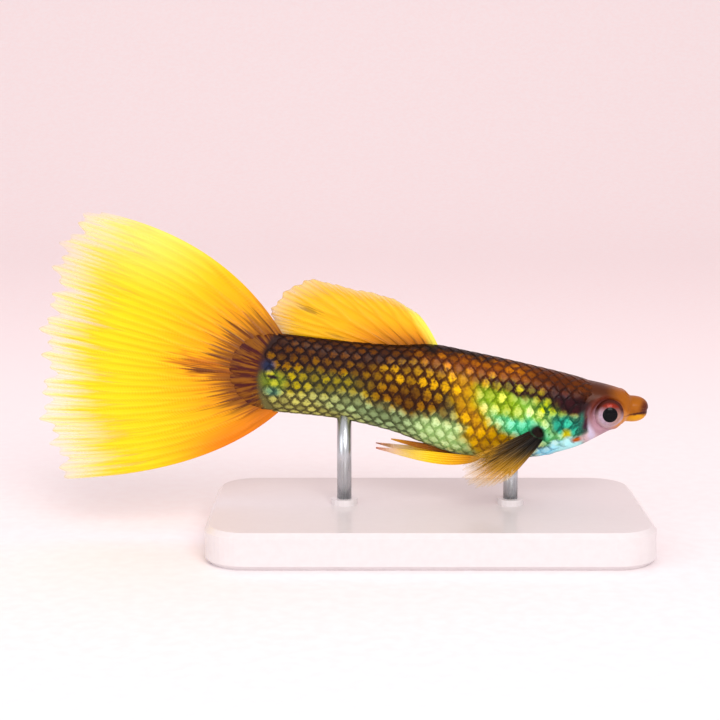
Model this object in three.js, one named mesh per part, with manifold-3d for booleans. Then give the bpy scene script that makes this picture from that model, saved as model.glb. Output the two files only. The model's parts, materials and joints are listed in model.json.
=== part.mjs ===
// A male fancy guppy, modelled at life size as a still display model on a small two-rod stand.
//
// The fish is built level and straight in a frame of its own: x runs from the tail base (0) to the
// snout, y to the fish's left, z up, in millimetres. It is then swung into its swimming curve, pitched
// nose down and set over the stand, whose underside centre is the origin of the whole.

import * as THREE from "three";
import { mergeVertices } from "three/addons/utils/BufferGeometryUtils.js";
import Module from "manifold-3d";

const wasm = await Module();
wasm.setup();

// Driving dimensions.
const LENGTH = 32; // tail base to snout
const DEPTH = 8.8; // back to belly at the deepest
const WIDTH = 4.5; // flank to flank at the widest
const GAP = 0.3; // kept between pieces that touch
const FIN_HALF = 0.25; // half the thickness of a fin's web
const RAY_RISE = 0.1; // how far a ray stands out of its web
const PITCH = THREE.MathUtils.degToRad(5.2); // nose down
const TAIL_SWING = 1.5; // how far the tail's margin is carried to the left

// Colours, roughness and metalness of the finishes.
const finish = (color, roughness = 0.5, metalness = 0) =>
  new THREE.MeshStandardMaterial({ color, roughness, metalness });
const OLIVE_SKIN = finish(0x6b5a2a, 0.38, 0.2);
const GILL_SILVER = finish(0x7fc8b0, 0.3, 0.4);
const LIP_ORANGE = finish(0xc98a1e, 0.45);
const EYE_BLACK = finish(0x14121c, 0.08);
const FIN_YELLOW = finish(0xffc800, 0.4);
const FIN_DUSKY = finish(0x4a3a20, 0.45);
const STAND_PALE = finish(0xe4dcdc, 0.3);
const ROD_STEEL = finish(0xb8bcc0, 0.3, 1);

// Body sections. Each row is a place along the fish as a share of LENGTH, the heights of back and
// belly as shares of DEPTH, the half width as a share of half WIDTH, the height of the widest line as
// a share of DEPTH, and how square the back is (2 is an ellipse).
const SECTIONS = [
  { at: -0.09, back: 0.385, belly: -0.345, side: 0.16, widest: 0.02, square: 2.0 }, // tail stalk's scaled end
  { at: 0.05, back: 0.388, belly: -0.35, side: 0.4, widest: 0.02, square: 2.0 }, // tail base
  { at: 0.2, back: 0.376, belly: -0.358, side: 0.55, widest: 0.02, square: 2.0 }, // middle of the stalk
  { at: 0.34, back: 0.385, belly: -0.425, side: 0.76, widest: 0.0, square: 2.1 }, // behind the dorsal fin
  { at: 0.43, back: 0.42, belly: -0.515, side: 0.9, widest: -0.03, square: 2.1 }, // dorsal fin
  { at: 0.53, back: 0.385, belly: -0.6, side: 0.98, widest: -0.08, square: 2.1 }, // deepest belly
  { at: 0.63, back: 0.34, belly: -0.605, side: 1.0, widest: -0.1, square: 2.2 }, // behind the shoulder
  { at: 0.75, back: 0.275, belly: -0.53, side: 0.98, widest: -0.09, square: 2.4 }, // gill opening
  { at: 0.83, back: 0.225, belly: -0.425, side: 0.95, widest: -0.06, square: 2.6 }, // cheek
  { at: 0.9, back: 0.185, belly: -0.265, side: 0.88, widest: -0.03, square: 2.8 }, // eye
  { at: 0.965, back: 0.13, belly: -0.13, side: 0.62, widest: 0.0, square: 2.6 }, // forehead's front
];
const STALK_END = { x: -0.0875 * LENGTH, round: 3.4 }; // the stalk ends in a half ellipse this long
const BROW_END = { x: 0.966 * LENGTH, round: 1.3 }; // the head ends bluntly over the lips
const RING_POINTS = 28;
const BODY_RINGS = 24;

// Cuts that part the body.
const STALK_CUT = 0.3 * LENGTH; // between tail stalk and trunk
const GILL_ARC = { x: 29.5, z: -1.2, radius: 6.1 }; // the gill opening, as an arc seen from the side

const JAW_CUT = 0.944 * LENGTH; // the front of the head, behind the jaws

const GILL_COVER = { x: 25.3, z: -1.3, long: 2.15, high: 2.15, thick: 0.55, rise: 0.12 };
const EYE = { x: 28.65, z: -0.5, centre: 1.1, radius: 1.15, back: 0.8, pupil: 0.62, lens: 0.06 };
const UPPER_JAW = { x: 30.7, z: 0.02, long: 1.38, wide: 1.12, high: 0.88 };
const LOWER_JAW = { x: 30.45, z: -0.28, long: 1.6, wide: 1.08, high: 1.0 };
const MOUTH = { hinge: 30.3, hingeZ: -0.5, tilt: 11 }; // the gape, seen from the side, and its slope
const NOSTRIL = { x: 29.85, around: 52, radius: 0.2 };

// Fins. Lengths are in millimetres in the fish's frame.
const TAIL_FIN = {
  rays: 12,
  rows: 8,
  rootReach: 1.6, // the root bows this far each side of the tail base
  rootHalf: 3.15,
  marginRadius: 32,
  marginX: 14,
  marginZ: 0.5,
  low: -20.5, // degrees from level to the lower corner, seen from the margin's centre
  high: 22.2,
  wave: 0.35,
};
const DORSAL_FIN = { rays: 7, rows: 6, front: 14.5, rear: 9.5, sunk: 0.5, lean: 0.55 };
const PECTORAL_FIN = { rays: 6, rows: 5, x: 23.35, z: -2.4, baseHalf: 0.7, length: 7.3 };
const PELVIC_FIN = { rays: 2, rows: 5, x: 18.6, y: 0.75, length: 5.7, wide: 0.62 };
const GONOPODIUM = { rays: 2, rows: 8, x: 17.6, length: 8.3 };

// Stand.
const BASE = { length: 36, width: 20, height: 3, corner: 3.5, chamfer: 0.4 };
const ROD = { radius: 0.6, front: 20.7, rear: 6.8, collar: 1.1, collarHeight: 0.5 };
const FIN_CLEARANCE = 2.3; // from the base's top up to the lowest fin over it
const LOWEST_FIN = 8.7; // the pectoral tips, below the level of the tail base

// A smooth curve through the rows of a table, read by key at x, straight on past its ends.
function curveThrough(rows, key, x) {
  const last = rows.length - 1;
  const place = (i) => rows[i].at * LENGTH;
  const slope = (i) => {
    const before = Math.max(i - 1, 0);
    const after = Math.min(i + 1, last);
    return (rows[after][key] - rows[before][key]) / (place(after) - place(before));
  };
  let i = 0;
  while (i < last - 1 && x > place(i + 1)) i++;
  const span = place(i + 1) - place(i);
  const u = Math.min(Math.max((x - place(i)) / span, 0), 1);
  const ease = u * u * (3 - 2 * u);
  return (
    rows[i][key] * (1 - ease) +
    rows[i + 1][key] * ease +
    slope(i) * span * u * (1 - u) ** 2 -
    slope(i + 1) * span * u * u * (1 - u)
  );
}

const backAt = (x) => curveThrough(SECTIONS, "back", x) * DEPTH;
const bellyAt = (x) => curveThrough(SECTIONS, "belly", x) * DEPTH;
const sideAt = (x) => (curveThrough(SECTIONS, "side", x) * WIDTH) / 2;
const widestAt = (x) => curveThrough(SECTIONS, "widest", x) * DEPTH;

// How far the section is drawn in towards the two rounded ends, from 0 to 1.
function closeIn(x, grow) {
  const tail = STALK_END.x + STALK_END.round - x;
  const nose = x - (BROW_END.x - BROW_END.round);
  const round = (past, radius) => Math.sqrt(Math.max(0, 1 - (Math.max(past, 0) / radius) ** 2));
  return round(tail, STALK_END.round + grow) * round(nose, BROW_END.round + grow);
}

// A point of the body's surface: angle 0 is the left flank and a quarter turn the back.
function bodyPoint(x, angle, grow = 0, broad = 1) {
  const closing = closeIn(x, grow);
  const middle = widestAt(x);
  const square = Math.sin(angle) > 0 ? curveThrough(SECTIONS, "square", x) : 2;
  const reach = (value) => Math.sign(value) * Math.abs(value) ** (2 / square);
  const up = (backAt(x) - middle + grow) * closing;
  const down = (middle - bellyAt(x) + grow) * closing;
  const across = (sideAt(x) + grow) * broad * closing;
  const rise = reach(Math.sin(angle));
  return new THREE.Vector3(x, across * reach(Math.cos(angle)), middle + rise * (rise > 0 ? up : down));
}

// A closed geometry from a list of points and a list of triangles.
function geometryOf(points, triangles) {
  return new THREE.BufferGeometry()
    .setAttribute("position", new THREE.Float32BufferAttribute(points.flatMap((p) => p.toArray()), 3))
    .setIndex(triangles.flat());
}

// A closed skin over rings of points, with a single point at each end.
function skinOver(rings, first, last) {
  const count = rings[0].length;
  const points = [first, ...rings.flat(), last];
  const at = (ring, i) => 1 + ring * count + (i % count);
  const triangles = [];
  for (let i = 0; i < count; i++) {
    triangles.push([0, at(0, i + 1), at(0, i)]);
    triangles.push([points.length - 1, at(rings.length - 1, i), at(rings.length - 1, i + 1)]);
    for (let ring = 0; ring < rings.length - 1; ring++) {
      triangles.push([at(ring, i), at(ring, i + 1), at(ring + 1, i + 1)]);
      triangles.push([at(ring, i), at(ring + 1, i + 1), at(ring + 1, i)]);
    }
  }
  return geometryOf(points, triangles);
}

// The fish's body without fins, grown all round by grow and made broader by a factor.
function bodyGeometry(grow = 0, broad = 1) {
  const start = STALK_END.x - grow;
  const span = BROW_END.x + grow - start;
  const rings = [];
  for (let ring = 1; ring < BODY_RINGS; ring++) {
    const x = start + (span * (1 - Math.cos((Math.PI * ring) / BODY_RINGS))) / 2;
    rings.push(
      Array.from({ length: RING_POINTS }, (_, i) =>
        bodyPoint(x, (2 * Math.PI * i) / RING_POINTS, grow, broad),
      ),
    );
  }
  const end = (x) => new THREE.Vector3(x, 0, widestAt(x));
  return skinOver(rings, end(start), end(start + span));
}

// A geometry as a solid for joining and cutting.
function solidOf(geometry) {
  const bare = geometry.index ? geometry.toNonIndexed() : geometry.clone();
  const merged = mergeVertices(
    new THREE.BufferGeometry().setAttribute("position", bare.getAttribute("position")),
    1e-4,
  );
  return new wasm.Manifold(
    new wasm.Mesh({
      numProp: 3,
      vertProperties: new Float32Array(merged.attributes.position.array),
      triVerts: new Uint32Array(merged.index.array),
    }),
  );
}

// A solid's largest closed piece, as a geometry.
function geometryFrom(solid) {
  const pieces = solid.decompose().sort((a, b) => b.volume() - a.volume());
  const mesh = pieces[0].getMesh();
  const positions = new Float32Array(mesh.numVert * 3);
  for (let i = 0; i < mesh.numVert; i++) {
    positions.set(mesh.vertProperties.subarray(i * mesh.numProp, i * mesh.numProp + 3), i * 3);
  }
  return new THREE.BufferGeometry()
    .setAttribute("position", new THREE.BufferAttribute(positions, 3))
    .setIndex(new THREE.BufferAttribute(new Uint32Array(mesh.triVerts), 1));
}

// Simple cutting shapes, lying across the fish.
const ball = (x, y, z, radius) => new THREE.SphereGeometry(radius, 10, 6).translate(x, y, z);
const acrossRod = (x, z, radius, sides = 40) =>
  new THREE.CylinderGeometry(radius, radius, 3 * WIDTH, sides).translate(x, 0, z);
const ellipsoid = ({ x, z, long, wide, high }, grow = 0) =>
  new THREE.SphereGeometry(1, 20, 12)
    .rotateX(Math.PI / 2)
    .scale(long + grow, wide + grow, high + grow)
    .translate(x, 0, z);
const block = (x0, x1, z0, z1) =>
  new THREE.BoxGeometry(x1 - x0, 3 * WIDTH, z1 - z0).translate((x0 + x1) / 2, 0, (z0 + z1) / 2);

// One eye: a lens-shaped ball with a flat back, turned from a profile about the fish's y axis.
function eyeGeometry(side, grow = 0) {
  const radius = EYE.radius + grow;
  const profile = [new THREE.Vector2(0, EYE.back - grow), new THREE.Vector2(radius * 0.8, EYE.back - grow)];
  const steps = 6;
  for (let i = 0; i <= steps; i++) {
    const angle = (Math.PI / 2) * (i / steps);
    const lens = radius * Math.cos(angle) < EYE.pupil ? EYE.lens : 0;
    profile.push(new THREE.Vector2(radius * Math.cos(angle), EYE.centre + radius * Math.sin(angle) + lens));
  }
  profile[profile.length - 1].x = 0;
  const eye = new THREE.LatheGeometry(profile, 20);
  if (side < 0) eye.rotateX(Math.PI);
  return eye.translate(EYE.x, 0, EYE.z);
}

// The gill cover's outline pushed through the fish on one side.
function coverPrism(side, grow = 0) {
  const across = new THREE.CylinderGeometry(1, 1, WIDTH, 28)
    .scale(GILL_COVER.long + grow, 1, GILL_COVER.high + grow)
    .translate(GILL_COVER.x, side * (WIDTH / 2 + 0.5 - grow), GILL_COVER.z);
  return solidOf(across);
}

// A thin fin as one closed sheet. place(t, s) gives its middle surface at ray share t and length
// share s, half(column, s) half its thickness. Both faces are split into the same triangles.
function finGeometry(columns, rows, place, half) {
  const step = 1e-3;
  const points = [[], []];
  for (const column of columns) {
    for (let row = 0; row <= rows; row++) {
      const s = row / rows;
      const t = column.at(s);
      const here = place(t, s);
      const across = place(t + step, s).sub(place(t - step, s));
      const along = place(t, s + step).sub(place(t, s - step));
      const out = across.cross(along).normalize().multiplyScalar(half(column, s));
      points[0].push(here.clone().add(out));
      points[1].push(here.clone().sub(out));
    }
  }
  const at = (face, column, row) => face * points[0].length + column * (rows + 1) + row;
  const triangles = [];
  const quad = (a, b, c, d) => triangles.push([a, b, c], [a, c, d]);
  const wide = columns.length - 1;
  for (let i = 0; i < wide; i++) {
    for (let j = 0; j < rows; j++) {
      quad(at(0, i, j), at(0, i + 1, j), at(0, i + 1, j + 1), at(0, i, j + 1));
      triangles.push([at(1, i, j), at(1, i + 1, j + 1), at(1, i + 1, j)]);
      triangles.push([at(1, i, j), at(1, i, j + 1), at(1, i + 1, j + 1)]);
    }
    quad(at(0, i, 0), at(1, i, 0), at(1, i + 1, 0), at(0, i + 1, 0));
    quad(at(0, i, rows), at(0, i + 1, rows), at(1, i + 1, rows), at(1, i, rows));
  }
  for (let j = 0; j < rows; j++) {
    quad(at(0, 0, j), at(0, 0, j + 1), at(1, 0, j + 1), at(1, 0, j));
    quad(at(0, wide, j), at(1, wide, j), at(1, wide, j + 1), at(0, wide, j + 1));
  }
  return geometryOf([...points[0], ...points[1]], triangles);
}

// Columns of a fin with forked rays, for t from low to high. A ray is one ridge up to the fork and
// two beyond it, with a dip between them.
function rayColumns(count, low, high, forkAt = 0.4) {
  const spacing = (high - low) / count;
  const forked = (s) => THREE.MathUtils.smoothstep(s, forkAt, forkAt + 0.25);
  const columns = [];
  const add = (t, spread, rise) => columns.push({ at: (s) => t + spacing * spread(s), rise });
  for (let ray = 0; ray < count; ray++) {
    const middle = low + spacing * (ray + 0.5);
    add(middle, () => -0.5, () => 0);
    add(middle, (s) => -0.2 - 0.12 * forked(s), () => 0);
    add(middle, (s) => -0.06 - 0.14 * forked(s), () => 1);
    add(middle, () => 0, (s) => 1 - forked(s));
    add(middle, (s) => 0.06 + 0.14 * forked(s), () => 1);
    add(middle, (s) => 0.2 + 0.12 * forked(s), () => 0);
  }
  add(high, () => 0, () => 0);
  return columns;
}

// Half a fin's thickness: the web thins towards the margin and the rays stand out of it.
function finHalf(column, s) {
  const thin = 1 - 0.5 * THREE.MathUtils.smoothstep(s, 0.7, 1);
  return (FIN_HALF + RAY_RISE * column.rise(s)) * thin;
}

// A point on the arch from root to tip that bends towards the control point.
function archPoint(root, control, tip, s) {
  const u = 1 - s;
  return root
    .clone()
    .multiplyScalar(u * u)
    .add(control.clone().multiplyScalar(2 * u * s))
    .add(tip.clone().multiplyScalar(s * s));
}

// Tail fin: t runs from -1 at the lower edge to 1 at the upper one.
function tailFinPoint(t, s) {
  const f = TAIL_FIN;
  const root = new THREE.Vector3(f.rootReach * (2 * t * t - 1), 0, f.rootHalf * t);
  const turn = THREE.MathUtils.degToRad(THREE.MathUtils.lerp(f.low, f.high, (t + 1) / 2));
  const reach = f.marginRadius * (1 - 0.03 * t ** 8);
  const tip = new THREE.Vector3(f.marginX - reach * Math.cos(turn), 0, f.marginZ + reach * Math.sin(turn));
  const bow = new THREE.Vector3(-9.8 + 5.9 * t * t, 0, 0.2 + 9.9 * t + 0.8 * t * t);
  const point = archPoint(root, bow, tip, s);
  point.y = f.wave * s * s * Math.sin(3.4 * t + 1.2);
  return point;
}

// Dorsal fin: t runs from 0 at the front ray to 1 at the hindmost, which lies along the back.
const DORSAL_MARGIN = new THREE.CatmullRomCurve3(
  [
    [12.4, 6.0],
    [9.9, 7.15],
    [6.4, 7.65],
    [2.9, 7.9],
    [0.5, 5.6],
    [0.7, 3.6],
  ].map(([x, z]) => new THREE.Vector3(x, 0, z)),
);
function dorsalFinPoint(t, s) {
  const x = THREE.MathUtils.lerp(DORSAL_FIN.front, DORSAL_FIN.rear, t);
  const root = new THREE.Vector3(x, 0, backAt(x) - DORSAL_FIN.sunk);
  const tip = DORSAL_MARGIN.getPoint(Math.min(Math.max(t, 0), 1));
  const bow = root.clone().lerp(tip, 0.5);
  bow.z += 0.5 - 0.2 * t * t;
  const point = archPoint(root, bow, tip, s);
  point.y = DORSAL_FIN.lean * s * s;
  return point;
}

// Pectoral fin of one side: t runs from 0 at the upper, hind edge to 1 at the lower, front edge.
function pectoralFinPoint(side, t, s) {
  const f = PECTORAL_FIN;
  const fan = THREE.MathUtils.degToRad(THREE.MathUtils.lerp(205, 230, t));
  const reach = f.length * (1 - 0.28 * (2 * t - 0.9) ** 2);
  const root = new THREE.Vector3(f.x + f.baseHalf * (t - 0.5), sideAt(f.x) - 0.35, f.z - f.baseHalf * (t - 0.5));
  return new THREE.Vector3(
    root.x + reach * s * Math.cos(fan),
    side * (root.y + 1.2 * Math.sin(1.5 * s) + 0.6 * s),
    root.z + reach * s * Math.sin(fan),
  );
}

// Pelvic fin of one side: a slender leaf trailing from under the breast.
function pelvicFinPoint(side, t, s) {
  const f = PELVIC_FIN;
  const leaf = f.wide * (0.45 + 0.75 * Math.sin(Math.PI * s) - 0.25 * s * s);
  return new THREE.Vector3(
    f.x - f.length * s,
    side * (f.y + 0.5 * Math.sin(1.6 * s) + 0.25 * t),
    bellyAt(f.x) + 0.25 - 1.15 * Math.sin(1.9 * s) * (1 - 0.25 * s) - leaf * t,
  );
}

// Gonopodium, the male's rod-like anal fin: its lower edge is the long rod, its upper edge is short.
function gonopodiumPoint(t, s) {
  const f = GONOPODIUM;
  const long = f.length * (1 - 0.27 * t);
  const root = new THREE.Vector3(f.x - 0.5 * t, 0, bellyAt(f.x) + 0.35 + 0.25 * t);
  const tip = new THREE.Vector3(f.x - long, 0, bellyAt(f.x) - 0.28 + 0.72 * t);
  const bow = root.clone().lerp(tip, 0.4);
  bow.z -= 0.45 - 0.12 * t;
  return archPoint(root, bow, tip, s);
}
const rodThenTip = (column, s) => (FIN_HALF + 0.08 * column.rise(s)) * (1 - 0.45 * s * s);

// The fish's parts, straight and level.
const body = solidOf(bodyGeometry());
const aroundBody = solidOf(bodyGeometry(GAP));
const broadBody = solidOf(bodyGeometry(GAP, 4));
const eyes = { left: 1, right: -1 };
const parts = {};

// Head, trunk and tail stalk, parted by the arc of the gill opening and a cut across the stalk.
const gillArc = (grow) => solidOf(acrossRod(GILL_ARC.x, GILL_ARC.z, GILL_ARC.radius + grow));
const beforeJaws = (x) => solidOf(block(x, 2 * LENGTH, -DEPTH, DEPTH));
let head = body.intersect(gillArc(-GAP / 2)).subtract(beforeJaws(JAW_CUT));
const behindCut = (x) => solidOf(block(x - 2 * LENGTH, x, -2 * DEPTH, 2 * DEPTH));
parts.trunk = body.subtract(gillArc(GAP / 2)).subtract(behindCut(STALK_CUT + GAP / 2));
parts.tail_stalk = body.intersect(behindCut(STALK_CUT - GAP / 2));

// Gill covers: plates laid in a shallow bed in the cheek, standing a little proud of it.
const raised = solidOf(bodyGeometry(GILL_COVER.rise));
const underPlate = solidOf(bodyGeometry(GILL_COVER.rise - GILL_COVER.thick));
const bedFloor = solidOf(bodyGeometry(GILL_COVER.rise - GILL_COVER.thick - GAP));
for (const [name, side] of Object.entries(eyes)) {
  parts[`gill_cover_${name}`] = raised
    .subtract(underPlate)
    .intersect(coverPrism(side))
    .intersect(gillArc(-GAP / 2));
  head = head.subtract(coverPrism(side, GAP).subtract(bedFloor));
}

// Eyes in their sockets, and the nostrils in front of them.
for (const [name, side] of Object.entries(eyes)) {
  parts[`eye_${name}`] = solidOf(eyeGeometry(side));
  const around = THREE.MathUtils.degToRad(side > 0 ? NOSTRIL.around : 180 - NOSTRIL.around);
  const pit = bodyPoint(NOSTRIL.x, around);
  head = head.subtract(solidOf(eyeGeometry(side, GAP))).subtract(solidOf(ball(...pit, NOSTRIL.radius)));
}
parts.head = head;

// Jaws: two rounded lips in front of the head, kept apart by the gape, which slopes up to the front.
const jawSpace = beforeJaws(JAW_CUT + GAP);
const aboveGape = (offset) =>
  solidOf(
    block(-1, 4, 0, 4)
      .rotateY(THREE.MathUtils.degToRad(-MOUTH.tilt))
      .translate(MOUTH.hinge, 0, MOUTH.hingeZ + offset),
  );
parts.upper_jaw = solidOf(ellipsoid(UPPER_JAW)).intersect(jawSpace).intersect(aboveGape(GAP / 2));
parts.lower_jaw = solidOf(ellipsoid(LOWER_JAW)).intersect(jawSpace).subtract(aboveGape(-GAP / 2));

// Unpaired fins.
const tailColumns = rayColumns(TAIL_FIN.rays, -1, 1);
parts.caudal_fin = solidOf(finGeometry(tailColumns, TAIL_FIN.rows, tailFinPoint, finHalf)).subtract(broadBody);
const dorsalColumns = rayColumns(DORSAL_FIN.rays, 0, 1);
parts.dorsal_fin = solidOf(finGeometry(dorsalColumns, DORSAL_FIN.rows, dorsalFinPoint, finHalf)).subtract(
  aroundBody,
);
const rodColumns = rayColumns(GONOPODIUM.rays, 0, 1, 1);
parts.gonopodium = solidOf(finGeometry(rodColumns, GONOPODIUM.rows, gonopodiumPoint, rodThenTip)).subtract(
  aroundBody,
);

// Paired fins, made for the left side and mirrored for the right.
const mirrored = (solid) => solid.mirror([0, 1, 0]);
const pectoral = finGeometry(
  rayColumns(PECTORAL_FIN.rays, 0, 1, 0.55),
  PECTORAL_FIN.rows,
  (t, s) => pectoralFinPoint(1, t, s),
  finHalf,
);
parts.pectoral_fin_left = solidOf(pectoral).subtract(aroundBody);
parts.pectoral_fin_right = mirrored(parts.pectoral_fin_left);
const pelvic = finGeometry(
  rayColumns(PELVIC_FIN.rays, 0, 1, 1),
  PELVIC_FIN.rows,
  (t, s) => pelvicFinPoint(1, t, s),
  finHalf,
);
parts.pelvic_fin_left = solidOf(pelvic).subtract(aroundBody);
parts.pelvic_fin_right = mirrored(parts.pelvic_fin_left);

// The swimming curve: the stalk and tail fin swing to the left, and the head a little with them.
function swing(geometry) {
  const position = geometry.getAttribute("position");
  for (let i = 0; i < position.count; i++) {
    const x = position.getX(i);
    const behind = Math.max(0, 12 - x) / 30;
    const ahead = Math.max(0, x - 20) / 12;
    position.setY(i, position.getY(i) + TAIL_SWING * behind ** 2 + 0.35 * ahead ** 2);
  }
  return geometry;
}

// The fish over its stand: the middle between the two rods stands over the base's centre.
const middle = (ROD.front + ROD.rear) / 2;
const tailBaseHeight = BASE.height + FIN_CLEARANCE + LOWEST_FIN;
const fish = new THREE.Group();
fish.rotation.y = PITCH;
fish.position.set(-middle * Math.cos(PITCH), 0, tailBaseHeight);
fish.updateMatrix();

const MATERIALS = {
  head: OLIVE_SKIN,
  trunk: OLIVE_SKIN,
  tail_stalk: OLIVE_SKIN,
  gill_cover_left: GILL_SILVER,
  gill_cover_right: GILL_SILVER,
  upper_jaw: LIP_ORANGE,
  lower_jaw: LIP_ORANGE,
  eye_left: EYE_BLACK,
  eye_right: EYE_BLACK,
  pectoral_fin_left: FIN_DUSKY,
  pectoral_fin_right: FIN_DUSKY,
};

function namedMesh(name, geometry, material) {
  const mesh = new THREE.Mesh(geometry, material);
  mesh.name = name;
  return mesh;
}

for (const [name, solid] of Object.entries(parts)) {
  fish.add(namedMesh(name, swing(geometryFrom(solid)), MATERIALS[name] ?? FIN_YELLOW));
}

// Stand: a chamfered plate with a collar for each rod.
function baseSolid() {
  const half = { x: BASE.length / 2 - BASE.chamfer, y: BASE.width / 2 - BASE.chamfer };
  const corner = BASE.corner - BASE.chamfer;
  const outline = new THREE.Shape();
  outline.absarc(half.x - corner, half.y - corner, corner, 0, Math.PI / 2);
  outline.absarc(corner - half.x, half.y - corner, corner, Math.PI / 2, Math.PI);
  outline.absarc(corner - half.x, corner - half.y, corner, Math.PI, 1.5 * Math.PI);
  outline.absarc(half.x - corner, corner - half.y, corner, 1.5 * Math.PI, 2 * Math.PI);
  const plate = new THREE.ExtrudeGeometry(outline, {
    depth: BASE.height - 2 * BASE.chamfer,
    curveSegments: 6,
    bevelSize: BASE.chamfer,
    bevelThickness: BASE.chamfer,
    bevelSegments: 1,
  }).translate(0, 0, BASE.chamfer);
  return solidOf(plate);
}

const upright = (radius, low, high, x) =>
  solidOf(
    new THREE.CylinderGeometry(radius, radius, high - low, 16)
      .rotateX(Math.PI / 2)
      .translate(x, 0, (low + high) / 2),
  );

const aroundPosedBody = solidOf(swing(bodyGeometry(GAP)).applyMatrix4(fish.matrix));
const stand = new THREE.Group();
let base = baseSolid();
for (const [name, along] of [
  ["front", ROD.front],
  ["rear", ROD.rear],
]) {
  const x = (along - middle) * Math.cos(PITCH);
  const collarTop = BASE.height + ROD.collarHeight;
  base = base.add(upright(ROD.collar, BASE.height - 1, collarTop, x));
  const rod = upright(ROD.radius, collarTop + GAP, tailBaseHeight, x).subtract(aroundPosedBody);
  stand.add(namedMesh(`stand_rod_${name}`, geometryFrom(rod), ROD_STEEL));
}
stand.add(namedMesh("stand_base", geometryFrom(base), STAND_PALE));

const guppy = new THREE.Group();
guppy.add(fish, stand);
export default guppy;
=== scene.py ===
# %% [markdown]
# # A male fancy guppy on its stand
#
# The fish is a small freshwater fish with a bare, blunt head, a scaled body and thin, rayed fins.
# The solids of the part give its true form and size. This scene lays a living surface over them:
# one skin, a coat of scales, wet eyes, thin fins you can see through, and soft studio light.
# Every piece of the fish is placed in the fish's own frame, in millimetres from the tail base, and
# then turned and set over the stand by one function, just as the solids are.

# %% Load the solids
import json
import math
import random

import bmesh
import bpy
from mathutils import Matrix, Vector

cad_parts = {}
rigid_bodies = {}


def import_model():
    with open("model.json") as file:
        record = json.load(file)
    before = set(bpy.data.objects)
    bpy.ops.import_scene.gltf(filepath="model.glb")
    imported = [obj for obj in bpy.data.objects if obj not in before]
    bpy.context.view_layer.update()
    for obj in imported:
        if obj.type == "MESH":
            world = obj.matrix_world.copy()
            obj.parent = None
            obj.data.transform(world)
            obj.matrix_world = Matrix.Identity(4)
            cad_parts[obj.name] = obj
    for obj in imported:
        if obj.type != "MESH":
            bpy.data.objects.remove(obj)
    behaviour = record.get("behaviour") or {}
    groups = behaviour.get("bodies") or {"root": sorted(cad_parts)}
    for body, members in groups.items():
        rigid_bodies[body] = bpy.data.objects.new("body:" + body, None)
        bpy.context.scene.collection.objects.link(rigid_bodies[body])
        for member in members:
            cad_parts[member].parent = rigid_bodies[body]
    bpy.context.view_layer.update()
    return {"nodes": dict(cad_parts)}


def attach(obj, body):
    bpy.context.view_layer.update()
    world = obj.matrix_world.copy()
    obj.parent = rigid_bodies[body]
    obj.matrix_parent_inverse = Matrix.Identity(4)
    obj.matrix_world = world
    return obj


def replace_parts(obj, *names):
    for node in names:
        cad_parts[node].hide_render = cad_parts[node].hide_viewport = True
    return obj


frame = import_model()
scene = bpy.context.scene

# %% [markdown]
# ## The fish's frame
#
# x runs from the tail base (0) to the snout (32), y to the fish's left and z up. The body swings a
# little to the left at both ends, as in swimming, and stays straight between them. Then it tips
# nose down and rises over the middle between the stand's rods.

# %% From the fish's frame to the scene
MM = 0.001
LENGTH = 32
DEPTH = 8.8
WIDTH = 4.5
PITCH = math.radians(5.2)
TAIL_SWING = 1.5
TAIL_SWING_REACH = 30
HEAD_SWING = 0.35
STRAIGHT = (12, 20)
ROD_MIDDLE = 13.75
TAIL_BASE_HEIGHT = 14.0
ORIGIN = Vector((-ROD_MIDDLE * math.cos(PITCH), 0, TAIL_BASE_HEIGHT)) * MM
TURN = Matrix.Rotation(PITCH, 3, "Y")


def swing(x):
    """How far the fish's middle line lies to its left at x."""
    behind = max(0, STRAIGHT[0] - x) / TAIL_SWING_REACH
    ahead = max(0, x - STRAIGHT[1]) / (LENGTH - STRAIGHT[1])
    return TAIL_SWING * behind**2 + HEAD_SWING * ahead**2


def place(x, y, z):
    """A point of the fish's frame, in millimetres, as a point of the scene, in metres."""
    return TURN @ Vector((x, y + swing(x), z)) * MM + ORIGIN


print("tail base at", [round(v, 4) for v in place(0, 0, 0)])

# %% [markdown]
# ## The camera
#
# The photograph looks at the fish's right flank from a little above. A long lens keeps the
# proportions true. It stands so far back that the picture is as wide at the fish as was measured.

# %% Camera
FRAME_WIDTH = 59.3 * MM
LENS = 85
SENSOR = 36
PICTURE_MIDDLE = (7.94, 0, 1.86)
ELEVATION = math.radians(9)
look_at = place(*PICTURE_MIDDLE)
back = Vector((0, -math.cos(ELEVATION), math.sin(ELEVATION)))
camera_data = bpy.data.cameras.new("camera")
camera_data.lens = LENS
camera_data.sensor_width = SENSOR
camera_data.clip_start = 0.005
camera = bpy.data.objects.new("camera", camera_data)
camera.location = look_at + back * (FRAME_WIDTH * LENS / SENSOR)
camera.rotation_mode = "QUATERNION"
camera.rotation_quaternion = (-back).to_track_quat("-Z", "Y")
scene.collection.objects.link(camera)
scene.camera = camera
print("camera", [round(v, 3) for v in camera.location])

# %% [markdown]
# ## Small tools for nodes
#
# Every finish here is worked out by shader nodes, and none is a picture. A few short functions add
# a node and link it in one line, so that a finish reads from top to bottom like a recipe.

# %% Small tools for nodes
def srgb(code):
    """A colour written as six hex digits, as the linear colour that shaders use."""
    values = [int(code[i : i + 2], 16) / 255 for i in (0, 2, 4)]
    return (*[v / 12.92 if v <= 0.04045 else ((v + 0.055) / 1.055) ** 2.4 for v in values], 1)


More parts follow.
